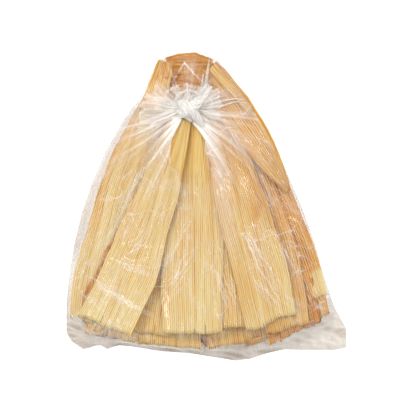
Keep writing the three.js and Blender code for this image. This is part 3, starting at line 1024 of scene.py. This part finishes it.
    def _pleats(self, x: float, y: float) -> float:
        """How high the film's pleats stand, fanning out from the knot.

        Args:
            x: Across, in millimetres.
            y: Up.

        Returns:
            The height, in millimetres.
        """
        dx, dy = x - self.knot[0], y - self.knot[1]
        reach = math.hypot(dx, dy)
        turn = math.atan2(dy, dx)
        near = smooth_step(reach, 6, 16)
        total = 0.0
        for count, height, fade, seed in self.pleat_sizes:
            bend = 0.5 * wander(reach / 40, turn, seed + 20)
            bent = turn + bend / count * 2
            around = Vector((math.cos(bent) * count / 2, math.sin(bent) * count / 2, seed * 9.7 + reach / 160))
            total += height * math.exp(-reach / fade) * ridged(noise.noise(around))
        return total * near

    def _crumples(self, x: float, y: float) -> float:
        """How high the film's small creases stand, in patches, in millimetres."""
        patch = smooth_step(wander(x / 34, y / 34, 31), -0.1, 0.5)
        coarse = ridged(wander(x / 15 + 0.3 * wander(x / 9, y / 9, 33), y / 15, 32))
        fine = ridged(wander(x / 6.5, y / 6.5, 34))
        return patch * (0.55 * coarse + 0.3 * fine) + 0.25 * ridged(wander(x / 22, y / 30, 35))

    def _fibres(self, x: float, y: float) -> float:
        """Fine lines that run out from the knot, from 0 to 1 on each."""
        dx, dy = x - self.knot[0], y - self.knot[1]
        turn, reach = math.atan2(dy, dx), math.hypot(dx, dy)
        return ridged(noise.noise(Vector((math.cos(turn) * 15, math.sin(turn) * 15, reach / 45))) * 0.9)

    def _window_gap(self, x: float, y: float) -> float:
        """How far outside the bare window a place is.

        Args:
            x: Across, in millimetres.
            y: Up.

        Returns:
            The distance in millimetres, less than 0 inside.
        """
        inside, nearest = False, 1e9
        corners = self.window
        for (x0, y0), (x1, y1) in zip(corners, corners[1:] + corners[:1]):
            if (y0 > y) != (y1 > y) and x < x0 + (y - y0) / (y1 - y0) * (x1 - x0):
                inside = not inside
            along = ((x - x0) * (x1 - x0) + (y - y0) * (y1 - y0)) / ((x1 - x0) ** 2 + (y1 - y0) ** 2)
            along = min(max(along, 0.0), 1.0)
            nearest = min(nearest, math.hypot(x - mix(x0, x1, along), y - mix(y0, y1, along)))
        return -nearest if inside else nearest

    def _body(self, material: bpy.types.Material) -> bpy.types.Object:
        """The bag's front, which lies on the husks, with its pleats, its doubled bands and its bare window.

        Args:
            material: The film.

        Returns:
            The piece.
        """
        self._outline(self.columns, self.rows)
        shape = bmesh.new()
        bmesh.ops.create_grid(shape, x_segments=self.columns, y_segments=self.rows, size=0.5)
        milk, painted_shade = film_layers(shape)
        shares = [(vertex.co.x + 0.5, vertex.co.y + 0.5) for vertex in shape.verts]
        places = [self._station(a, s) for a, s in shares]
        doubled = self._along(places, self.bands)
        shaken = [(x + 1.5 * wander(x / 6, y / 6, 51), y + 1.5 * wander(x / 6, y / 6, 52)) for x, y in places]
        # The creases' whiteness is painted highlight along them.
        creased = self._along(places, self._radiating())
        creased = [max(pair) for pair in zip(creased, self._along(shaken, self._companions()))]
        for vertex, (a, s), (x, y), double, crease in zip(shape.verts, shares, places, doubled, creased):
            height, veil, shade_share = self._front(a, s, x, y)
            double *= 0.5 + 0.85 * self._fibres(x, y)
            vertex.co = Vector((x, y, height + 0.9 * double + 0.7 * crease)) * MM
            vertex[milk], vertex[painted_shade] = veil + double + crease, shade_share
        return self._finish_body(shape, material)

    def _back(self, material: bpy.types.Material) -> bpy.types.Object:
        """The bag's back, flat on the table, whose rim meets the front's.

        Args:
            material: The film.

        Returns:
            The piece.
        """
        columns, rows = self.columns // 3, self.rows // 3
        self._outline(columns, rows)
        shape = bmesh.new()
        bmesh.ops.create_grid(shape, x_segments=columns, y_segments=rows, size=0.5)
        milk, painted_shade = film_layers(shape)
        for vertex in shape.verts:
            a, s = vertex.co.x + 0.5, vertex.co.y + 0.5
            x, y = self._station(a, s)
            rim = smooth_step(self._rim(a, s), 0.93, 1.0)
            vertex.co = Vector((x, y, mix(0.25 + 0.25 * self._crumples(y, x), self.edge_height, rim))) * MM
            low = smooth_step(-y, 70, 100)
            # Painted shade on the back: darker towards the hem, less to the right.
            vertex[milk], vertex[painted_shade] = mix(0.45, 0.6, low), mix(0.6, 1.0, low) * (1 - 0.3 * smooth_step(x, 0, 110))
        bmesh.ops.reverse_faces(shape, faces=shape.faces)
        return new_object("film_back", shape, material)

    def _outline(self, columns: int, rows: int) -> None:
        """Reads the bag's edges from its CAD solid and takes its hem, at each line of a grid.

        Args:
            columns: How many faces the grid has across.
            rows: How many it has up.
        """
        self.grid = (columns, rows)
        stations = [max(mix(self.hem_end, self.tip_end, row / rows), self.lowest_side) for row in range(rows + 1)]
        self.edges = [(self.side(y, 1), self.side(y, -1)) for y in stations]
        first, last = self.edges[0]
        self.hems = [self.hem(mix(first + 0.5, last - 0.5, column / columns)) for column in range(columns + 1)]

    def _radiating(self) -> tuple:
        """Thin pleats that run down from the knot on both sides of the window, each of its own length and whiteness.

        Returns:
            Each pleat's points, half width and whiteness.
        """
        pleats = []
        for side, first, last, count in (("left", 184, 250, 17), ("right", -66, 2, 18)):
            for number in range(count):
                share = (number * 0.618 + len(side) * 0.13) % 1
                turn = math.radians(mix(first, last, (number + 0.5 * share) / count))
                heading = Vector((math.cos(turn), math.sin(turn)))
                aside = Vector((-heading.y, heading.x)) * (3 * share - 1.5)
                reach = mix(38, 88, (number * 0.382 + 0.2) % 1)
                start, end = (Vector(self.knot) + heading * length for length in (9, reach))
                middle = (start + end) / 2 + aside
                pleats.append(((tuple(start), tuple(middle), tuple(end)), mix(0.8, 1.5, share), mix(0.22, 0.5, share)))
        return tuple(pleats)

    def _companions(self) -> tuple:
        """Every single crease, with three shorter and thinner ones beside it.

        Returns:
            Each line's points, half width and whiteness.
        """
        lines = list(self.creases)
        for number, (points, width, white) in enumerate(self.creases):
            heading = (Vector(points[-1]) - Vector(points[0])).normalized()
            across = Vector((-heading.y, heading.x))
            for copy in (1, 2, 3):
                share = (number * 0.618 + copy * 0.382) % 1
                shift = across * (3.4 * copy - 6.5) * (0.6 + 0.5 * share) + heading * (14 * share - 7)
                start, end = Vector(points[0]) + shift, Vector(points[-1]) + shift * 0.5
                middle = (start + end) / 2 + across * (2 * share - 1)
                lines.append(((tuple(start), tuple(middle), tuple(end.lerp(start, 0.35 * share))), 0.75 * width,
                              0.8 * white))
        return tuple(lines)

    def _along(self, places: list[tuple[float, float]], lines: tuple) -> list[float]:
        """How near each place is to the lines, as their whiteness, which fades to their far end.

        Args:
            places: The places, in millimetres.
            lines: Each line's points, half width and whiteness.

        Returns:
            A whiteness for each place.
        """
        at = np.array(places)
        total = np.zeros(len(places))
        for points, width, white in lines:
            for number, (first, second) in enumerate(zip(points, points[1:])):
                start, span = np.array(first), np.array(second) - np.array(first)
                along = np.clip((at - start) @ span / (span @ span), 0, 1)
                gap = np.linalg.norm(at - start - along[:, None] * span, axis=1)
                share = (number + along) / (len(points) - 1)
                near = 1 - np.clip((gap / width - 0.4) / (0.6 + 0.7 * share), 0, 1)
                total = np.maximum(total, white * (1 - 0.85 * share) * near * near * (3 - 2 * near))
        return total.tolist()

    def _rim(self, a: float, s: float) -> float:
        """How near a place is to the joined sides or hem, from 0 to 1 there."""
        return max(abs(2 * a - 1), 1 - 2 * s)

    def _front(self, a: float, s: float, x: float, y: float) -> tuple[float, float, float]:
        """The film of the bag's front at a place.

        Args:
            a: Its share of the way across.
            s: Its share of the way up.
            x: Across, in millimetres.
            y: Up.

        Returns:
            The height in millimetres, the milkiness and the painted shade.
        """
        rest = self.rest.at(x, y)
        rim = smooth_step(self._rim(a, s), 0.965, 1.0)
        pleats, crumples = self._pleats(x, y), self._crumples(x, y)
        bare = self.bare.at(x, y)
        folds = ridged(0.9 * wander((x + 0.3 * y) / 36, (y + 0.24 * x) / 7, 42) + 0.22 * wander(x / 8, y / 5, 43))
        folds *= bare * smooth_step(-y, 80, 96)
        height = mix(rest + pleats + crumples + 1.7 * folds, self.edge_height, rim)
        reach = math.hypot(x - self.knot[0], y - self.knot[1])
        veil = 0.012 + mix(0.26, 0.08, smooth_step(reach, 15, 70)) * min(pleats, 1.6) / 1.6 + 0.05 * crumples
        veil -= 0.16 * smooth_step(y, 94, 106)
        if y < 60 and abs(x - self.knot[0]) < 40:
            veil -= 0.22 * (1 - smooth_step(self._window_gap(x, y), 0, 14)) * smooth_step(-y, -60, -40)
        hazy = mix(0.5, 0.68, smooth_step(-y, 84, 104))
        # Painted shade over the bare table: darkest towards the hem, less to the right, and lighter on the folds'
        # crests as their painted highlight.
        shade_share = bare * (1 - 0.5 * folds) * mix(0.6, 1, smooth_step(-y, 70, 100)) * (1 - 0.3 * smooth_step(x, 0, 110))
        return height, veil + (hazy + 0.12 * wander(x / 18, y / 8, 41) + 0.2 * folds) * bare, shade_share

    # The knot and what stands out of it.

    def _knot(self, material: bpy.types.Material) -> bpy.types.Object:
        """The overhand knot: bands of gathered film that cross over each other, and the loop above them."""
        shape = bmesh.new()
        for strand in KNOT_STRANDS:
            strand.sweep(shape, self.rest)
        return self._gathered_piece("film_knot", shape, material)

    def _gathers(self, material: bpy.types.Material) -> bpy.types.Object:
        """The fans of film that the knot's two ends open into."""
        shape = bmesh.new()
        for ear in KNOT_EARS:
            ear.spread(shape, self.rest)
        return self._gathered_piece("film_gathers", shape, material)

    def _gathered_piece(self, name: str, shape: bmesh.types.BMesh, material: bpy.types.Material) -> bpy.types.Object:
        """Closes the seams of a gathered piece and makes its object.

        Args:
            name: The piece's name.
            shape: The bmesh, in metres.
            material: The film.

        Returns:
            The piece.
        """
        bmesh.ops.remove_doubles(shape, verts=shape.verts, dist=0.02 * MM)
        bmesh.ops.recalc_face_normals(shape, faces=shape.faces)
        return new_object(name, shape, material)

    def _finish_body(self, shape: bmesh.types.BMesh, material: bpy.types.Material) -> bpy.types.Object:
        """Cuts the window, draws its edge to its outline, and makes the object.

        Args:
            shape: The front, in metres.
            material: The film.

        Returns:
            The piece.
        """
        cut = [
            face for face in shape.faces
            if abs(face.calc_center_median().x) < 0.04
            and self._window_gap(*(c / MM for c in face.calc_center_median()[:2])) < 0
        ]
        bmesh.ops.delete(shape, geom=cut, context="FACES")
        for vertex in shape.verts:
            x, y = vertex.co.x / MM, vertex.co.y / MM
            if vertex.is_boundary and abs(self._window_gap(x, y)) < 2:
                gap = self._window_gap(x, y)
                slope = Vector((self._window_gap(x + 0.1, y) - gap, self._window_gap(x, y + 0.1) - gap, 0))
                vertex.co -= slope.normalized() * gap * MM
        return new_object("film_body", shape, material)


# ---- studio ----


@dataclass
class Studio:
    """A plain pale floor, soft light and a camera that looks straight down."""

    frame_width: float = 353.6  # mm across the view at the bundle's middle height
    middle_height: float = 26.0
    distance: float = 1700.0
    sensor: float = 36.0
    floor_glow: float = 0.46
    sky: float = 0.63
    # Name, place in metres, side in metres, power in watts, and whether gloss shows it: the large ones are diffused.
    softboxes: tuple[tuple[str, tuple[float, float, float], float, float, bool], ...] = (
        ("key_softbox", (-0.8, 0.5, 1.1), 0.6, 8.0, False),
        ("fill_softbox", (0.9, 0.1, 1.2), 0.8, 3.5, False),
        ("top_softbox", (0.1, 0.5, 1.9), 0.7, 5.2, False),
        ("left_spark", (-0.45, 0.6, 1.4), 0.2, 2.4, True),
        ("head_spark", (0.15, 0.95, 1.3), 0.12, 1.0, True),
        ("right_spark", (0.7, 0.4, 1.4), 0.16, 1.2, True),
        ("low_spark", (-0.75, -0.3, 1.3), 0.2, 1.6, True),
        ("low_right_spark", (0.5, -0.6, 1.4), 0.16, 1.0, True),
    )

    def build(self) -> None:
        """Makes the floor, the lights, the sky and the camera."""
        scene = bpy.context.scene
        scene.view_settings.view_transform = "Standard"
        self._floor()
        self._sky(scene)
        for softbox in self.softboxes:
            self._softbox(*softbox)
        data = bpy.data.cameras.new("camera")
        data.type = "PERSP"
        data.sensor_width = self.sensor
        data.lens = self.sensor * self.distance / self.frame_width
        data.clip_start, data.clip_end = 0.05, 10.0
        camera = bpy.data.objects.new("camera", data)
        camera.location = (0, 0, (self.distance + self.middle_height) * MM)
        scene.collection.objects.link(camera)
        scene.camera = camera

    def _floor(self) -> None:
        """A white paper floor, just under the bag's back."""
        sheet = bmesh.new()
        bmesh.ops.create_grid(sheet, x_segments=1, y_segments=1, size=3.0)
        paper = bpy.data.materials.new("white_paper_backdrop")
        paper.use_nodes = True
        shader = paper.node_tree.nodes["Principled BSDF"]
        shader.inputs["Base Color"].default_value = linear("fafafa")
        shader.inputs["Roughness"].default_value = 0.9
        shader.inputs["Emission Color"].default_value = linear("ffffff")
        shader.inputs["Emission Strength"].default_value = self.floor_glow
        floor = new_object("floor", sheet, paper)

    def _sky(self, scene: bpy.types.Scene) -> None:
        """Even white light from all round.

        Args:
            scene: The scene that it lights.
        """
        world = bpy.data.worlds.new("white_tent")
        world.use_nodes = True
        background = world.node_tree.nodes["Background"]
        background.inputs["Color"].default_value = linear("ffffff")
        background.inputs["Strength"].default_value = self.sky
        scene.world = world

    def _softbox(self, name: str, place: tuple[float, float, float], size: float, power: float,
                 mirrored: bool) -> None:
        """A square soft light that faces the bundle.

        Args:
            name: The light's name.
            place: Where it stands, in metres.
            size: Its side, in metres.
            power: In watts.
            mirrored: Whether gloss shows it; a diffused light is too even to show.
        """
        data = bpy.data.lights.new(name, "AREA")
        data.size = size
        data.energy = power
        light = bpy.data.objects.new(name, data)
        light.location = place
        light.visible_glossy = mirrored
        light.rotation_mode = "QUATERNION"
        light.rotation_quaternion = (-Vector(place)).to_track_quat("-Z", "Y")
        bpy.context.scene.collection.objects.link(light)


def main() -> None:
    """Builds the bundle and the studio."""
    Studio().build()
    bundle = HuskBundle()
    husks = bundle.build()
    FilmBag(bundle.fan).build(husks)


if __name__ == "__main__":
    main()
